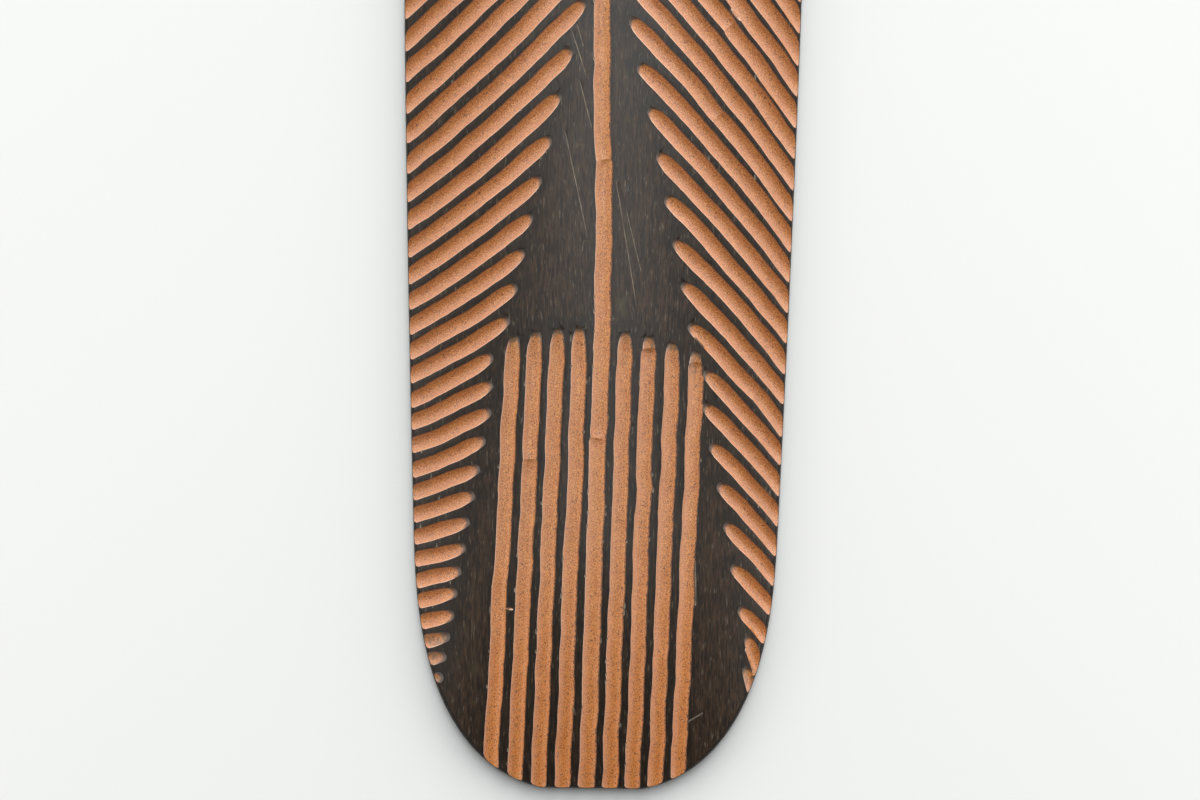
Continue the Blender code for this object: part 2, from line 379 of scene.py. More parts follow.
def add_push(number, place, path, marks, start, end, last, half_width_cut):
    """One push of the gouge from start to end along the cut, as stations (along, x, y, z, radius)."""
    radius = gouge_radius(half_width_cut)
    along = station_marks(start, end, radius)
    x, y = np.interp(along, marks, path[:, 0]), np.interp(along, marks, path[:, 1])
    lengthwise = np.gradient(np.column_stack([x, y]), along, axis=0)
    aside = np.column_stack([-lengthwise[:, 1], lengthwise[:, 0]])
    chance = random.Random(number * 31 + place)
    shift = chance.uniform(-1, 1) * PUSH_SHIFT * (place > 0)
    deeper = PUSH_BITE * chance.uniform(*BITE_SHARES)
    entry_share = chance.uniform(*ENTRY_SHARES)
    is_trial = place == 0 and end - start < SHORT_PUSH
    stations = []
    for i, at in enumerate(along):
        wander = wander_at(at, number, shift)
        depth = depth_at(at, number)
        if place:
            depth += deeper * (1 - smooth((at - start) / BITE_LENGTH))
        else:
            depth *= entry_share + (1 - entry_share) * smooth((at - start) / ENTRY_LENGTH)
        if is_trial:
            depth *= TRIAL_DEPTH
        if not last:
            depth *= 1 - smooth((at - end + PUSH_OVERLAP) / PUSH_OVERLAP)
        px, py = x[i] + aside[i, 0] * wander, y[i] + aside[i, 1] * wander
        back = max(0.0, 1 - (at - start) / radius)
        stations.append((at, px, py, face_height(px, py) + radius - depth, radius * math.sqrt(1 - back ** 2)))
    group = number % 2 + 2 * (place % 2)
    pushes.append((group, number, np.array(stations), half_width_cut, is_trial))


print("a push over 100 mm has", len(station_marks(0.0, 0.1, gouge_radius(MOST_HALF_WIDTH))), "stations")

# %% A whole cut
BROKEN_RIBS = 0.16  # share of the long ribs that took two pushes
BREAK_SHARES = (0.3, 0.8)  # and how far along them the second one starts
LONG_RIB = 0.080
LEAST_LENGTH = 1.2  # shortest cut worth making, as a share of half its width

cut_count = 0


def inside_part(path):
    """The path without what lies further than RUN_OUT outside the outline."""
    limit = 1 + RUN_OUT / HALF_WIDTH
    return np.array([point for point in path if reach(*point) < limit])


def measured(path):
    """The distance of each point of the path from its start."""
    return np.concatenate([[0], np.cumsum(np.hypot(*np.diff(path, axis=0).T))])


def cut(path, half_width_cut, restarts=None):
    """A whole groove along the path, from its tip, in as many pushes as it takes."""
    global cut_count
    path = inside_part(path)
    if len(path) < 3 or math.dist(path[0], path[-1]) < LEAST_LENGTH * half_width_cut:
        return
    outward = path[0] - path[1]
    path = np.vstack([path[0] + outward * ENTRY_LEAD / np.hypot(*outward), path])
    marks = measured(path)
    chance = random.Random(cut_count)
    if restarts is None:
        is_broken = marks[-1] > LONG_RIB and chance.random() < BROKEN_RIBS
        restarts = [marks[-1] * chance.uniform(*BREAK_SHARES)] if is_broken else []
    starts = [0.0] + list(restarts)
    ends = [start + PUSH_OVERLAP for start in restarts] + [marks[-1]]
    for place, (start, end) in enumerate(zip(starts, ends)):
        add_push(cut_count, place, path, marks, start, end, end == ends[-1], half_width_cut)
    cut_count += 1


print("a long cut starts again with a chance of", BROKEN_RIBS)

# %% [markdown]
# ## Where the cuts go
#
# Two rows of slanting cuts run down the sides like the ribs of a leaf.  Each rib starts at a rounded tip and
# runs out over the rim, so its path is drawn from the tip to the edge and a little past it.  The rule of each
# row gives the height at the edge, the slope, and a line that the tips stay on.  Heights are from the foot.
#
# At the foot stands a comb of upright cuts, and its middle one goes on to the head as the midrib.

# %% The rule of each row
# (first cut's height at the edge, first spacing, growth of the spacing from cut to cut, largest spacing)
LEFT_EDGE = (0.0682, 0.01172, 1.0202, 0.0200)
RIGHT_EDGE = (0.0975, 0.01870, 1.0025, 0.0200)
LEFT_DRIFT = (0.00132, 2.55, 17.45)  # the spacing wanders by this much, from this cut, over so many cuts
RIGHT_DRIFT = (0.0, 0.0, 20.0)
# (rise per metre of run, the height where it starts to grow, its growth per metre, most)
LEFT_SLOPE = (0.27, 0.137, 2.62, 1.00)
RIGHT_SLOPE = (1.04, 0.250, 0.70, 1.20)
# The tips stay on a line that closes in on the middle: (distance at the foot, lean, curve)
LEFT_TIPS = (0.1065, -0.1376, -0.1125)
RIGHT_TIPS = (0.1122, -0.1738, -0.0487)
NEAREST_TIP = 0.0105
BESIDE_COMB = 0.268  # ribs whose tips are lower than this stay CLEAR_OF_COMB from the middle
CLEAR_OF_COMB = 0.0675
LEFT_BOW = -0.022  # sag of a long cut, as a share of its length
RIGHT_BOW = 0.017
LONG_CUT = 0.060  # a shorter cut sags less
EDGE_BAND = 0.0011  # the cuts are set out from a line this far inside the outline

# %% The path of a rib
TIP_TRIES = 40  # steps towards the place where a cut meets the line of tips
TIP_EASE = 0.5  # share of the way left that each step goes
PATH_STEPS = 60
PAST_STEPS = 4  # steps in each RUN_OUT past the edge


def tip_of(tips, edge, slope):
    """Where a straight cut from the edge meets the line of tips."""
    at_foot, lean, bend = tips
    up = edge.y
    for _ in range(TIP_TRIES):
        nearest = CLEAR_OF_COMB if up < BESIDE_COMB else NEAREST_TIP
        inner = max(nearest, at_foot + lean * up + bend * up * up)
        up += TIP_EASE * (edge.y + slope * (edge.x - inner) - up)
    return Vector((inner, up))


def bowed(tip, edge, bow):
    """Points from the tip to the edge, bent aside by the share bow of the length, and straight on past it."""
    run = edge - tip
    aside = Vector((-run.y, run.x)) * bow * min(1.0, run.length / LONG_CUT)
    points = [tip + run * t + aside * 4 * t * (1 - t) for t in (i / PATH_STEPS for i in range(PATH_STEPS + 1))]
    onward = (points[-1] - points[-2]).normalized()
    return points + [edge + onward * RUN_OUT * i / PAST_STEPS for i in range(1, 2 * PAST_STEPS + 1)]


print("the path of a rib has", PATH_STEPS + 1 + 2 * PAST_STEPS, "points")

# %% Cut the rows of ribs
RIGHT_NICKS = ((0.0686, 0.0758), (0.0800, 0.0950))  # heights of their lower and upper ends
NICK_RISE = 3.2  # they climb this much for each metre towards the middle


def cut_rib(side, path, height):
    full = min(1.0, height / FULL_WIDTH_AT)
    width = LEAST_HALF_WIDTH + (MOST_HALF_WIDTH - LEAST_HALF_WIDTH) * full
    cut([(side * at.x, at.y - HALF_LENGTH) for at in path], width)


def cut_low_nicks():
    """The lowest cuts on the right run almost along the edge."""
    for low, high in RIGHT_NICKS:
        edge = Vector((half_width(low - HALF_LENGTH) - EDGE_BAND, low))
        tip = Vector((edge.x - (high - low) / NICK_RISE, high))
        cut_rib(1, bowed(tip, edge, RIGHT_BOW), low)


def cut_row(side, edge_row, drift, slope_rule, tips, bow):
    """A row of ribs.  side is 1 on the right and -1 on the left."""
    up, spacing, growth, widest = edge_row
    wander, first, period = drift
    slope, grows_from, steepening, steepest = slope_rule
    number = 0
    while up < LENGTH:
        height = up - wander * math.cos(math.tau * (number - first) / period)
        rise = min(steepest, slope + steepening * max(0.0, height - grows_from))
        edge = Vector((half_width(min(height, LENGTH - END_TRIM) - HALF_LENGTH) - EDGE_BAND, height))
        cut_rib(side, bowed(tip_of(tips, edge, rise), edge, bow), height)
        up += spacing
        spacing = min(widest, spacing * growth)
        number += 1


cut_low_nicks()
cut_row(-1, LEFT_EDGE, LEFT_DRIFT, LEFT_SLOPE, LEFT_TIPS, LEFT_BOW)
cut_row(1, RIGHT_EDGE, RIGHT_DRIFT, RIGHT_SLOPE, RIGHT_TIPS, RIGHT_BOW)
print(cut_count, "ribs and nicks")

# %% The comb and the midrib
COMB_SIDE = 4  # upright cuts on each side of the middle one
COMB_HEIGHT = 0.2853
COMB_HALF_WIDTH = 0.0049
COMB_TOP_PITCH = 0.0143
COMB_FOOT_PITCH = 0.0147
COMB_SKEW = 0.0006  # the right side is spaced this much wider at the top, and closer at the foot
COMB_SHOULDER = 0.00058  # the outer cuts stop lower, by this times their place squared
COMB_SLANT = 0.0010  # and each stops this much lower than the one on its left
MIDRIB_RESTARTS = (0.98, 0.79, 0.60, 0.394, 0.222)  # heights where the midrib's pushes meet
# How far down some cuts of the comb a second push starts.  A first push of a few millimetres is a trial
COMB_RESTARTS = {-3: (0.079,), 2: (0.0085,), 4: (0.0078,)}
OVERSHOOT = 0.02
COMB_STEP = 0.001
MIDDLE_SHIFT = 0.0026  # from SHIFT_TOP down, the middle cut comes to stand this far to the right
SHIFT_TOP = 0.48
SHIFT_LENGTH = 0.12
FOOT_SWING = 0.0056  # and from SWING_TOP to the foot it swings this far back to the left
SWING_TOP = 0.30


def lean_of_comb(up):
    """How far the middle cut stands to the right of the plank's middle."""
    shift = MIDDLE_SHIFT * min(1, max(0, (SHIFT_TOP - up) / SHIFT_LENGTH))
    return shift - FOOT_SWING * max(0, 1 - up / SWING_TOP)


def upright_path(place, top):
    """place counts the cuts from the middle one, to the right."""
    side = (place > 0) - (place < 0)
    path = []
    for up in np.arange(top, -OVERSHOOT, -COMB_STEP):
        share = min(1.0, max(0.0, up / COMB_HEIGHT))
        pitch = COMB_FOOT_PITCH + (COMB_TOP_PITCH - COMB_FOOT_PITCH) * share
        pitch += side * COMB_SKEW * (2 * share - 1)
        path.append((lean_of_comb(up) + place * pitch, up - HALF_LENGTH))
    return path


def cut_comb():
    for place in range(-COMB_SIDE, COMB_SIDE + 1):
        if place:
            top = COMB_HEIGHT - COMB_SHOULDER * place ** 2 - COMB_SLANT * place
            cut(upright_path(place, top), COMB_HALF_WIDTH, COMB_RESTARTS.get(place, ()))
        else:
            midrib = upright_path(0, LENGTH + OVERSHOOT)
            top = inside_part(midrib)[0][1] + ENTRY_LEAD + HALF_LENGTH
            cut(midrib, MOST_HALF_WIDTH, [top - height for height in MIDRIB_RESTARTS])


cut_comb()
carved_length = sum(stations[-1, 0] - stations[0, 0] for _, _, stations, _, _ in pushes)
print(cut_count, "cuts in", len(pushes), "pushes,", round(carved_length, 1), "m in all")

# %% [markdown]
# ## Scratches, slips and chips
#
# A carried shield is scratched, and the carver slipped here and there.  A scratch is a thin shallow groove,
# which shows the paler wood below the black.  It is cut before the ribs are, so that a rib crosses it.  Most
# scratches are short and run with the grain, so chance places those.  The few long ones and the slips are
# listed one by one.

# %% Scratches
# (x, y) of both ends and the width of each long scratch, in metres from the middle of the shield
LONG_SCRATCHES = (
    ((-0.0190, -0.1300), (-0.0097, -0.1580), 0.00070),
    ((-0.0158, -0.1262), (-0.0114, -0.1410), 0.00056),
    ((-0.0140, -0.1600), (-0.0056, -0.1910), 0.00078),
    ((-0.0227, -0.1906), (-0.0072, -0.2588), 0.00062),
    ((0.0095, -0.2216), (0.0238, -0.3022), 0.00062),
    ((0.0160, -0.2400), (0.0262, -0.2800), 0.00050),
    ((0.0620, -0.4560), (0.0628, -0.4830), 0.00056),
    ((0.0577, -0.5576), (0.0685, -0.5510), 0.00080),
    ((0.0118, 0.0700), (0.0030, 0.1320), 0.00070),
    ((-0.0060, 0.2300), (-0.0125, 0.3050), 0.00062),
)
SHORT_SCRATCHES = 130
SHORT_LENGTHS = (0.002, 0.007)
SHORT_WIDTHS = (0.00020, 0.00038)
SHORT_LEAN = 0.18  # most that a short scratch leans from the grain, as run for rise
SCRATCH_DEPTH = 0.00012
SCRATCH_STATIONS = (0.0, 0.08, 0.3, 0.5, 0.7, 0.92, 1.0)
SCRATCH_SEED = 11
NEAR_EDGE = 0.97  # short scratches and chips stay within this reach


def fine_rod(start, end, half_width_mark, depth):
    """Stations of a thin rod from start to end that leaves a mark of this half width and depth."""
    radius = (half_width_mark ** 2 + depth ** 2) / (2 * depth)
    length = math.dist(start, end)
    stations = []
    for share in SCRATCH_STATIONS:
        x, y = (a + (b - a) * share for a, b in zip(start, end))
        shallower = depth * (2 * share - 1) ** 4
        stations.append((length * share, x, y, face_height(x, y) + radius - depth + shallower, radius))
    return np.array(stations)


def scratches():
    chance = random.Random(SCRATCH_SEED)
    found = [fine_rod(start, end, width / 2, SCRATCH_DEPTH) for start, end, width in LONG_SCRATCHES]
    for _ in range(SHORT_SCRATCHES):
        x, y = chance.uniform(-1, 1) * HALF_WIDTH, chance.uniform(-1, 1) * HALF_LENGTH
        length, lean = chance.uniform(*SHORT_LENGTHS), chance.uniform(-1, 1) * SHORT_LEAN
        if max(reach(x, y), reach(x + lean * length, y + length)) < NEAR_EDGE:
            width = chance.uniform(*SHORT_WIDTHS)
            found.append(fine_rod((x, y), (x + lean * length, y + length), width / 2, SCRATCH_DEPTH))
    return found


scratch_rods = scratches()
print(len(scratch_rods), "scratches")

# %% Slips of the gouge
# (x, y) of both ends and the half width of each slip across a land
SLIPS = (
    ((0.0806, -0.1150), (0.0858, -0.1212), 0.0017),
    ((0.0960, -0.3830), (0.0926, -0.3905), 0.0012),
    ((-0.0560, -0.4870), (-0.0505, -0.4882), 0.0007),
    ((0.0700, 0.1900), (0.0768, 0.1850), 0.0016),
)
SLIP_DEPTH = 0.0007

slip_rods = [fine_rod(start, end, width, SLIP_DEPTH) for start, end, width in SLIPS]
print(len(slip_rods), "slips")

# %% [markdown]
# ## Carve
#
# Each push becomes a round rod: a curve with a bevel, whose radius shrinks to nothing at the nose.  Neighbours
# may run into each other, as some of the real cuts do, so they are cut away in four turns, with no two rods
# in one turn that touch.

# %% Carve the cuts
GROUPS = 4
ROD_SIDES = 26
FINE_ROD_SIDES = 12
SAME_POINT = 1e-7  # corners of a rod that are closer than this become one


def rods(every_station, sides, finish):
    """Each list of stations as a closed rod, all in one mesh."""
    curve = bpy.data.curves.new("gouge", "CURVE")
    curve.dimensions = "3D"
    curve.twist_mode = "Z_UP"
    curve.bevel_depth = 1.0
    curve.bevel_resolution = sides // 2 - 2
    curve.use_fill_caps = True
    for stations in every_station:
        spline = curve.splines.new("POLY")
        spline.points.add(len(stations) - 1)
        for point, (_, x, y, z, radius) in zip(spline.points, stations):
            point.co = (x, y, z, 1)
            point.radius = radius
    guide = bpy.data.objects.new("gouge", curve)
    bpy.context.scene.collection.objects.link(guide)
    select_only(guide)
    bpy.ops.object.convert(target="MESH")
    rod = bpy.context.object
    edit_all(rod)
    bpy.ops.mesh.remove_doubles(threshold=SAME_POINT)
    close_edit(rod, finish)
    return rod


apply_boolean(shield, rods(scratch_rods, FINE_ROD_SIDES, BARE), "DIFFERENCE")
for group in range(GROUPS):
    stations_of_group = [push[2] for push in pushes if push[0] == group]
    apply_boolean(shield, rods(stations_of_group, ROD_SIDES, CUT), "DIFFERENCE")
apply_boolean(shield, rods(slip_rods, ROD_SIDES, CUT), "DIFFERENCE")
print("the carved plank has", len(shield.data.polygons), "faces")

# %% [markdown]
# ## Chips
#
# Where the blade lifted a fibre, the lip of a cut is chipped.  A chip is long with the grain, so its tool is a
# little ball drawn out along the plank.  Chance places the chips, and more of them on the upright cuts, which
# run with the grain.

# %% Chip the lips
CHIPS = 90  # on cuts of every kind
COMB_CHIPS = 90  # on upright cuts, beside those
CHIP_LENGTHS = (0.0010, 0.0026)  # half of it
CHIP_WIDTHS = (0.0004, 0.0008)
CHIP_DEPTH = 0.0005
CHIP_SEED = 5
UPRIGHT = 0.2  # a cut whose direction has less of x than this is an upright one


def is_upright(stations):
    return abs(stations[0, 1] - stations[-1, 1]) < UPRIGHT * (stations[-1, 0] - stations[0, 0])


def chips():
    """The tools for all the chips, in one mesh."""
    chance = random.Random(CHIP_SEED)
    long_pushes = [push for push in pushes if len(push[2]) > 2 * len(NOSE_SHARES)]
    uprights = [push for push in long_pushes if is_upright(push[2])]
    chosen = chance.choices(long_pushes, k=CHIPS) + chance.choices(uprights, k=COMB_CHIPS)
    tools = []
    for _, _, stations, half_width_cut, _ in chosen:
        k = chance.randrange(len(NOSE_SHARES), len(stations) - 2)
        (x, y), (nx, ny) = stations[k][1:3], stations[k + 1][1:3]
        run = Vector((nx - x, ny - y)).normalized()
        side = chance.choice((-1, 1)) * half_width_cut
        x, y = x - run.y * side, y + run.x * side
        if reach(x, y) <= NEAR_EDGE:
            size = (chance.uniform(*CHIP_WIDTHS), chance.uniform(*CHIP_LENGTHS), CHIP_DEPTH)
            place = (x, y, face_height(x, y))
            tools.append(drawn_out(bpy.ops.mesh.primitive_ico_sphere_add, size, place, subdivisions=2, radius=1.0))
            bpy.ops.object.mode_set(mode="OBJECT")
    select_only(*tools)
    bpy.ops.object.join()
    joined = bpy.context.object
    edit_all(joined)
    close_edit(joined, BARE)
    return joined


apply_boolean(shield, chips(), "DIFFERENCE")
print("with its chips it has", len(shield.data.polygons), "faces")

# %% [markdown]
# ## What each point of a cut knows
#
# The stains, and the painted light and shade in the cuts, follow the gouge, so every vertex looks up the nearest
# point on a cut's middle line, and keeps these numbers: `along`, metres from the tip; `across`, from -1 on the
# lip towards the foot to 1 on the lip towards the head; `drop`, metres below the face; `trial`, 1 in a short
# first push; and `upright`, 1 in the comb and the midrib and 0 in the ribs.  Two more are for the black lands
# between the cuts.
# `near` is 1 on the lip of a cut and falls to 0 within LIP_REACH of it.  `lip` is the same with the sign of
# `across`, and fades out round the tips, where the two signs meet.

# %% Give the carving its coordinates
SAMPLE_STEP = 0.001
ACROSS_LIMIT = 1.2
LIP_REACH = 0.0045
TIP_REACH = 0.024


def middle_lines():
    """Points down the middle of every push: x, y, direction, distance from the tip, half width, trial."""
    rows = []
    for _, _, stations, half_width_cut, is_trial in pushes:
        at = np.arange(stations[0, 0], stations[-1, 0], SAMPLE_STEP)
        x, y = (np.interp(at, stations[:, 0], stations[:, axis]) for axis in (1, 2))
        dx, dy = np.gradient(x), np.gradient(y)
        length = np.hypot(dx, dy)
        rows.append(np.column_stack([x, y, dx / length, dy / length, at,
                                     np.full(len(at), half_width_cut), np.full(len(at), float(is_trial))]))
    return np.vstack(rows)


def give_coordinates(piece):
    lines = middle_lines()
    tree = KDTree(len(lines))
    for i, row in enumerate(lines):
        tree.insert((row[0], row[1], 0), i)
    tree.balance()
    places = np.empty(len(piece.data.vertices) * 3)
    piece.data.vertices.foreach_get("co", places)
    places = places.reshape(-1, 3)
    nearest = lines[[tree.find((x, y, 0))[1] for x, y, _ in places]]
    aside = (places[:, 0] - nearest[:, 0]) * -nearest[:, 3] + (places[:, 1] - nearest[:, 1]) * nearest[:, 2]
    aside *= np.where(nearest[:, 2] < -UPRIGHT, -1, 1)  # so that the head's side is the positive one
    away = np.hypot(places[:, 0] - nearest[:, 0], places[:, 1] - nearest[:, 1])
    near = np.clip(1 - (away - nearest[:, 5]) / LIP_REACH, 0, 1)
    found = {
        "near": near,
        "lip": near * np.sign(aside) * np.clip(nearest[:, 4] / TIP_REACH, 0, 1),
        "along": nearest[:, 4],
        "across": np.clip(aside / nearest[:, 5], -ACROSS_LIMIT, ACROSS_LIMIT),
        "drop": np.array([face_height(x, y) - z for x, y, z in places]),
        "trial": nearest[:, 6],
        "upright": (np.abs(nearest[:, 2]) < UPRIGHT).astype(float),
    }
    for name, values in found.items():
        piece.data.attributes.new(name, "FLOAT", "POINT").data.foreach_set("value", values)


give_coordinates(shield)
print("coordinates on", len(shield.data.vertices), "points")

# %% [markdown]
# ## Finishes
#
# Six surfaces show, each with its own finish.  The face was scraped smooth and blackened with soot in oil
# before it was carved, so the black ends at the lips of the cuts.  The cuts go down to bare hardwood, and dry
# ochre was rubbed into them.  The edge has the same soot, worn thin.  The back was only oiled, and hands have
# polished the grip in it.  Scratches and chips lay bare the paler wood under the soot.
#
# A finish is coats of colour, each laid where a pattern says, and patterns in the wood are drawn out along the
# grain.  Real fibres, pores and grains of sand are 0.1 to 0.3 mm across.  That is too fine to show from here,
# so they are drawn 0.6 to 1.1 mm across.

# %% Colours and nodes
def linear(code):
    """An sRGB hex colour as the linear values that a shader takes."""
    parts = [int(code[i:i + 2], 16) / 255 for i in (1, 3, 5)]
    return (*[p / 12.92 if p <= 0.04045 else ((p + 0.055) / 1.055) ** 2.4 for p in parts], 1.0)


def add_node(material, kind, inputs=None, output=0, **settings):
    """Adds a node with its settings and returns one output.  An input is a value or another node's output."""
    node = material.node_tree.nodes.new("ShaderNode" + kind)
    for name, value in settings.items():
        setattr(node, name, value)
    for socket, value in (inputs or {}).items():
        if isinstance(value, bpy.types.NodeSocket):
            material.node_tree.links.new(value, node.inputs[socket])
        else:
            node.inputs[socket].default_value = value
    return node.outputs[output]


def clouds(material, size, detail=3.0, shift=0.0):
    """Random light and dark whose blobs have this size in metres along x, y and z."""
    place = add_node(material, "TexCoord", output="Object")
    scaled = add_node(material, "Mapping", {
        "Vector": place, "Scale": tuple(1 / side for side in size), "Location": (shift, shift, shift)})
    return add_node(material, "TexNoise", {"Vector": scaled, "Scale": 1.0, "Detail": detail, "Roughness": 0.55})


def coats(material, first, *others):
    """Lays colours over the first one.  Each is (pattern, where it starts, where it is full, colour, share)."""
    colour = linear(first)
    for pattern, start, full, code, share in others:
        cover = add_node(material, "MapRange", {
            "Value": pattern, "From Min": start, "From Max": full, "To Max": share})
        colour = add_node(material, "Mix", {0: cover, 6: colour, 7: linear(code)}, 2, data_type="RGBA")
    return colour


def surface(material, colour, roughness, specular, relief=None, height=0.0, ior=1.5):
    """Sets the shader.  roughness is (pattern, least, most), and relief is a pattern this high in metres."""
    shader = material.node_tree.nodes["Principled BSDF"]
    pattern, least, most = roughness
    rough = add_node(material, "MapRange", {"Value": pattern, "To Min": least, "To Max": most})
    material.node_tree.links.new(colour, shader.inputs["Base Color"])
    material.node_tree.links.new(rough, shader.inputs["Roughness"])
    shader.inputs["Specular IOR Level"].default_value = specular
    shader.inputs["IOR"].default_value = ior
    if relief:
        bump = add_node(material, "Bump", {"Height": relief, "Strength": 1.0, "Distance": height})
        material.node_tree.links.new(bump, shader.inputs["Normal"])


for material in finishes:
    material.use_nodes = True
print("mid grey is", round(linear("#808080")[0], 3), "in linear light")

# %% The blackened face
LAND_CROWN = 1.2  # how far a land falls towards its lips, as a share of the height of the fibres


def blacken(material):
    """Soot in oil, rubbed into scraped hardwood.  It is satin and near black, and brown where it is thin."""
    near, lip = (add_node(material, "Attribute", output="Fac", attribute_name=name) for name in ("near", "lip"))
    # The scraper raised fibres, which give the face fine brown lines, drawn 1.1 mm wide
    fibres = clouds(material, (0.0011, 0.010, 0.010))
    # The soot went on in strokes some 3 mm wide, and lies thinner between them
    streaks = clouds(material, (0.0026, 0.060, 0.050), shift=3.1)
    # Hairlines, drawn 1 mm wide, are dark where a fibre split and pale where one was rubbed through
    hairlines = clouds(material, (0.0010, 0.007, 0.010), detail=1.0, shift=6.3)
    # Carrying wore patches of 2 to 4 cm to a dull olive brown
    wear = clouds(material, (0.016, 0.040, 0.050), shift=9.7)
    # Each land is a little rounded, so its two sides catch the light differently
    rounded = add_node(material, "Math", {0: lip, 1: lip}, operation="MULTIPLY")
    crown = add_node(material, "Math", {0: rounded, 1: -LAND_CROWN, 2: fibres}, operation="MULTIPLY_ADD")
    colour = coats(
        material, "#20150C",
        (fibres, 0.40, 0.62, "#3F2D1E", 1.0),
        (streaks, 0.46, 0.74, "#43301F", 0.4),
        (wear, 0.62, 0.74, "#46402A", 0.5),
        (near, 0.20, 0.90, "#1A130B", 0.6),
        (hairlines, 0.40, 0.30, "#0F0A07", 0.8),
        (hairlines, 0.64, 0.74, "#6E6250", 0.5),
    )
    surface(material, colour, (fibres, 0.36, 0.46), 0.55, crown, 0.00012)


blacken(finishes[FACE])
print("the face has", len(finishes[FACE].node_tree.nodes), "nodes")

# %% Stains, and bands of painted light and shade, that follow the cuts
def on_lip(material, side, drop, deepest, shallowest):
    """side, on the band of a cut's wall that fades out from shallowest to deepest below the face."""
    band = add_node(material, "MapRange", {"Value": drop, "From Min": deepest, "From Max": shallowest})
    return add_node(material, "Math", {0: side, 1: band}, operation="MULTIPLY")


def torn_fibres(material, across, drop, upright):
    """Soot caught in the torn upper lip, in tears drawn 1 to 2 mm long.  Cuts along the grain tear more."""
    torn = clouds(material, (0.0013, 0.0020, 0.0013), detail=2.0, shift=6.6)
    tears = add_node(material, "MapRange", {"Value": torn, "From Min": 0.42, "From Max": 0.62})
    torn_side = add_node(material, "Math", {0: across, 1: tears}, operation="MULTIPLY")
    along_grain = add_node(material, "MapRange", {"Value": upright, "To Min": 0.5, "To Max": 1.0})
    torn_lip = add_node(material, "Math", {0: torn_side, 1: along_grain}, operation="MULTIPLY")
    return on_lip(material, torn_lip, drop, 0.0024, 0.0002)


def sooty_tip(material, along, drop, grime):
    """Soot that the blade carried in.  It reaches 10 mm along a cut, with an uneven lower edge."""
    uneven = add_node(material, "Math", {0: grime, 1: 0.0016, 2: -0.0008}, operation="MULTIPLY_ADD")
    below_face = add_node(material, "Math", {0: drop, 1: uneven}, operation="ADD")
    tip_depth = add_node(material, "MapRange", {
        "Value": along, "From Min": 0.002, "From Max": 0.010, "To Min": 0.0022, "To Max": 0.0})
    return add_node(material, "Math", {0: tip_depth, 1: below_face}, operation="SUBTRACT")


def handled(material, along, upright, trial, grime):
    """Grime where fingers reach: in the trial pushes and the first 20 mm of the comb's cuts."""
    by_tip = add_node(material, "MapRange", {"Value": along, "From Min": 0.020, "From Max": 0.006})
    comb_tip = add_node(material, "Math", {0: by_tip, 1: upright}, operation="MULTIPLY")
    reached = add_node(material, "Math", {0: comb_tip, 1: trial}, operation="MAXIMUM")
    return add_node(material, "Math", {0: reached, 1: grime}, operation="MULTIPLY")


print("four stains follow the cuts")

# %% The ochre in the cuts
OCHRE_IOR = 1.6  # minerals bend light more than wood and oil do


def rub_with_ochre(material):
    """Dry earth pigment rubbed into the open grain of bare hardwood.  It is dull, sandy and orange-brown."""
    along, across, drop, trial, upright = (
        add_node(material, "Attribute", output="Fac", attribute_name=name)
        for name in ("along", "across", "drop", "trial", "upright")
    )
    # It was rubbed in unevenly, in blots of about 1 cm
    mottle = clouds(material, (0.006, 0.012, 0.006), shift=1.7)
    # Its coarsest grains, drawn 0.6 mm across, give the cuts their speckle
    sand = clouds(material, (0.0006, 0.0008, 0.0006), detail=1.0, shift=5.0)
    # Open pores show as dark specks, drawn 0.7 mm wide, and the deepest 1.1 mm
    pores = clouds(material, (0.0007, 0.0010, 0.0007), detail=0.0, shift=8.0)
    deep_pores = clouds(material, (0.0011, 0.0015, 0.0011), detail=0.0, shift=2.4)
    # Soot and grime lie in blots of 2 to 4 mm
    grime = clouds(material, (0.0022, 0.0035, 0.0022), detail=4.0, shift=4.4)
    # The pigment is brighter in the ribs than in the upright cuts, and the cuts are made brightest in the lowest 16
    # cm
    place = add_node(material, "TexCoord", output="Object")
    up = add_node(material, "SeparateXYZ", {0: place}, 1)
    foot = add_node(material, "MapRange", {"Value": up, "From Min": -0.44, "From Max": -0.60})
    # Painted sheen on the wall that faces the head and a painted highlight on its lip; painted shade, with a little
    # soot, below the lip opposite
    painted_sheen_wall = add_node(material, "Math", {0: across, 1: -1.0}, operation="MULTIPLY")
    colour = coats(
        material, "#BE6F2B",
        (mottle, 0.36, 0.64, "#CA7D31", 1.0),
        (upright, 0.9, 0.1, "#BD691A", 0.6),
        (foot, 0.0, 1.0, "#F08C30", 0.95),
        (sand, 0.48, 0.76, "#ECAA6A", 1.0),
        (sand, 0.46, 0.24, "#83441A", 0.9),
        (pores, 0.65, 0.73, "#73391F", 0.8),
        (deep_pores, 0.76, 0.80, "#3A1F12", 0.9),
        (handled(material, along, upright, trial, grime), 0.42, 0.62, "#5E5238", 0.8),
        # painted sheen on the wall that faces the head
        (painted_sheen_wall, 0.05, 0.95, "#C0907A", 0.42),
        # painted shade below the lip towards the head, with a little soot on the lip itself
        (on_lip(material, across, drop, 0.0017, 0.0005), 0.40, 0.85, "#452A15", 0.7),
        (torn_fibres(material, across, drop, upright), 0.28, 0.40, "#2B1D10", 0.85),
        # a painted highlight along the lip of the wall that faces the head
        (on_lip(material, painted_sheen_wall, drop, 0.0011, 0.0003), 0.45, 0.85, "#E6CDBA", 0.6),
        (sooty_tip(material, along, drop, grime), 0.0, 0.0012, "#20180D", 0.92),
    )
    surface(material, colour, (sand, 0.48, 0.58), 1.0, sand, 0.00006, OCHRE_IOR)


rub_with_ochre(finishes[CUT])
print("the ochre has", len(finishes[CUT].node_tree.nodes), "nodes")

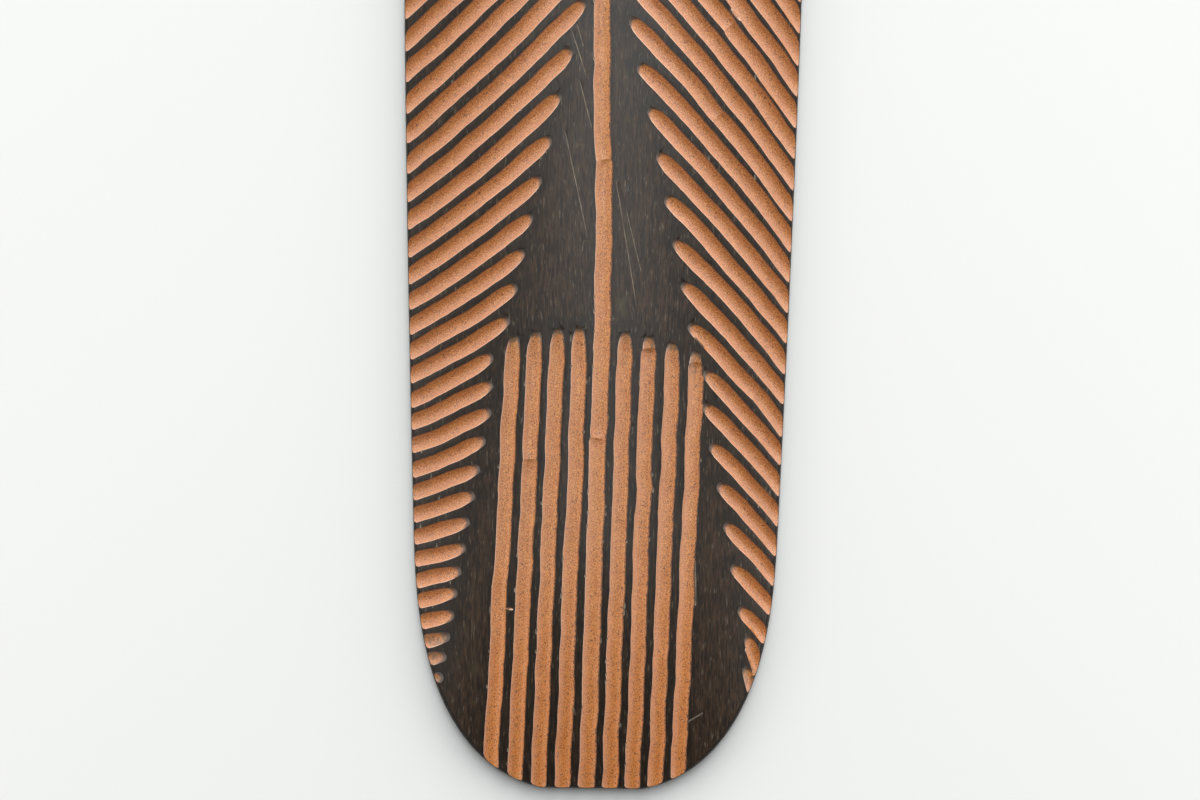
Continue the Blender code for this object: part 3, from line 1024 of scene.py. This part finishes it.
# %% The edge and the wood laid bare
def blacken_edge(material):
    """The same soot on the edge, where the grain is rougher.  It is duller, and rubbed brown in places."""
    # The fibres are drawn 1 mm wide.  Carrying rubbed patches of 1 to 5 cm
    fibres = clouds(material, (0.003, 0.040, 0.0010))
    wear = clouds(material, (0.010, 0.050, 0.004), shift=2.2)
    colour = coats(
        material, "#17110C",
        (fibres, 0.42, 0.66, "#281D14", 1.0),
        (wear, 0.60, 0.74, "#5A4530", 0.6),
    )
    surface(material, colour, (fibres, 0.56, 0.70), 0.20, fibres, 0.00015)


def lay_bare(material):
    """Hardwood under the soot, opened by a scratch or a chip.  It is pale, dry and dull."""
    # Its fibres are drawn 0.8 mm wide
    fibres = clouds(material, (0.0008, 0.012, 0.0008))
    colour = coats(material, "#5B5145", (fibres, 0.35, 0.65, "#8C7F6E", 1.0))
    surface(material, colour, (fibres, 0.60, 0.75), 0.4)


blacken_edge(finishes[EDGE])
lay_bare(finishes[BARE])
print("the edge and the bare wood are dressed")

# %% The back and the grip
def dress_with_adze(material):
    """Oiled hardwood as the adze left it, never blackened.  It is warm brown, with dark figure and pores."""
    # The tree's figure is in bands about 1 cm wide and 30 cm long, and the stains are 5 to 10 cm across
    figure = clouds(material, (0.009, 0.320, 0.050), detail=5.0, shift=7.7)
    stains = clouds(material, (0.050, 0.110, 0.050), shift=1.2)
    # Fibres and pores are drawn 0.7 to 0.9 mm wide
    fibres = clouds(material, (0.0009, 0.030, 0.010))
    pores = clouds(material, (0.0007, 0.007, 0.010), detail=0.0, shift=3.3)
    colour = coats(
        material, "#6E4A2E",
        (figure, 0.42, 0.56, "#4E3220", 0.9),
        (fibres, 0.40, 0.70, "#825A38", 0.5),
        (pores, 0.68, 0.76, "#2C1B10", 0.8),
        (stains, 0.52, 0.72, "#33241A", 0.7),
    )
    surface(material, colour, (fibres, 0.46, 0.64), 0.45, fibres, 0.00015)


def polish_by_hand(material):
    """The same wood where hands have worn it smooth and darkened it.  It is redder, and glossier."""
    # The pores are filled, so only the figure and patches of sweat of 1 to 2 cm are left
    figure = clouds(material, (0.008, 0.120, 0.012), detail=4.0, shift=7.7)
    sweat = clouds(material, (0.014, 0.020, 0.010), shift=5.1)
    colour = coats(
        material, "#5E3A22",
        (figure, 0.42, 0.60, "#432817", 0.9),
        (sweat, 0.50, 0.72, "#2B1A10", 0.7),
    )
    surface(material, colour, (sweat, 0.34, 0.50), 0.55)


dress_with_adze(finishes[BACK])
polish_by_hand(finishes[GRIP])
print("the shield has", len(finishes), "finishes")

# %% Hand the piece over to the frame
SMOOTH_UNDER = math.radians(32)
select_only(shield)
bpy.ops.object.shade_smooth_by_angle(angle=SMOOTH_UNDER)
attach(shield, "root")
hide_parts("shield")
print("one piece,", shield.name)

# %% [markdown]
# ## Floor, camera and light
#
# The shield lies on a plain pale floor, and the camera looks straight down at its lower part.  The light is
# a broad soft sky beyond the head, so each cut has a lit wall and a shaded one.  Two small lamps low beside
# the foot keep the comb bright.

# %% The floor and the camera
CAMERA_LENS = 135.0
SENSOR_WIDTH = 36.0
VIEW_WIDTH = 0.744  # metres across the view at the height VIEW_LEVEL
VIEW_CENTRE = (0.0016, -0.358)
VIEW_LEVEL = 0.021
VIEW_TURN = math.radians(0.8)
FLOOR_SIZE = 30.0


def make_floor():
    material = bpy.data.materials.new("pale floor")
    material.use_nodes = True
    shader = material.node_tree.nodes["Principled BSDF"]
    shader.inputs["Base Color"].default_value = linear("#EDECE9")
    shader.inputs["Roughness"].default_value = 0.9
    bpy.ops.object.select_all(action="DESELECT")
    bpy.ops.mesh.primitive_plane_add(size=FLOOR_SIZE)
    floor = bpy.context.object
    floor.name = "floor"
    floor.data.materials.append(material)


def make_camera():
    camera = bpy.data.objects.new("camera", bpy.data.cameras.new("camera"))
    camera.data.lens = CAMERA_LENS
    camera.data.sensor_width = SENSOR_WIDTH
    camera.data.clip_end = 100
    camera.location = (*VIEW_CENTRE, VIEW_LEVEL + VIEW_WIDTH * CAMERA_LENS / SENSOR_WIDTH)
    camera.rotation_euler = (0, 0, VIEW_TURN)
    bpy.context.scene.collection.objects.link(camera)
    bpy.context.scene.camera = camera


make_floor()
make_camera()
print("the camera is", round(bpy.context.scene.camera.location.z, 2), "m above the floor")

# %% The lamps
SKY_DISTANCE = 5.0
LAMP_DISTANCE = 1.3
FOOT = (0.0, -0.60)


def add_soft_light(name, azimuth, off_vertical, distance, size, brightness, tint=(1, 1, 1), target=VIEW_CENTRE):
    """A sheet of light that faces the target on the floor.  azimuth counts from +X towards +Y."""
    across, down = math.radians(azimuth), math.radians(off_vertical)
    way = Vector((math.sin(down) * math.cos(across), math.sin(down) * math.sin(across), math.cos(down)))
    data = bpy.data.lights.new(name, "AREA")
    data.shape = "RECTANGLE"
    data.size, data.size_y = size
    data.color = tint
    data.energy = brightness * math.pi * size[0] * size[1]
    light = bpy.data.objects.new(name, data)
    light.location = Vector((*target, 0)) + way * distance
    light.rotation_euler = (-way).to_track_quat("-Z", "Y").to_euler()
    light.visible_camera = False
    bpy.context.scene.collection.objects.link(light)


add_soft_light("high sky", 84, 24, SKY_DISTANCE, (2.7, 3.3), 4.1, (0.90, 0.97, 1.0))
add_soft_light("middle sky", 84, 55, SKY_DISTANCE, (5.0, 2.6), 2.2)
add_soft_light("low sky", 80, 78, SKY_DISTANCE, (10.0, 1.5), 3.9, (1.0, 0.98, 0.95))
for side, azimuth in (("left", 180), ("right", 0)):
    add_soft_light(f"lamp to the {side} of the foot", azimuth, 66, LAMP_DISTANCE, (0.8, 0.5), 1.7, target=FOOT)
print(len(bpy.data.lights), "lights")

# %% The glow of the room
# It is dim overhead and beyond the foot, and light low down and towards the head, so black wood stays black
DIM_WAY = (0, -0.55, 0.835)

world = bpy.data.worlds.new("room")
bpy.context.scene.world = world
world.use_nodes = True
direction = add_node(world, "TexCoord", output="Generated")
dim_share = add_node(world, "VectorMath", {0: direction, 1: DIM_WAY}, "Value", operation="DOT_PRODUCT")
glow = add_node(world, "MapRange", {
    "Value": dim_share, "From Min": 0.02, "From Max": 0.74, "To Min": 1.08, "To Max": 0.06})
background = world.node_tree.nodes["Background"]
background.inputs["Color"].default_value = (1, 1, 1, 1)
world.node_tree.links.new(glow, background.inputs["Strength"])
bpy.context.scene.view_settings.view_transform = "Standard"
print("the room has", len(world.node_tree.nodes), "nodes")
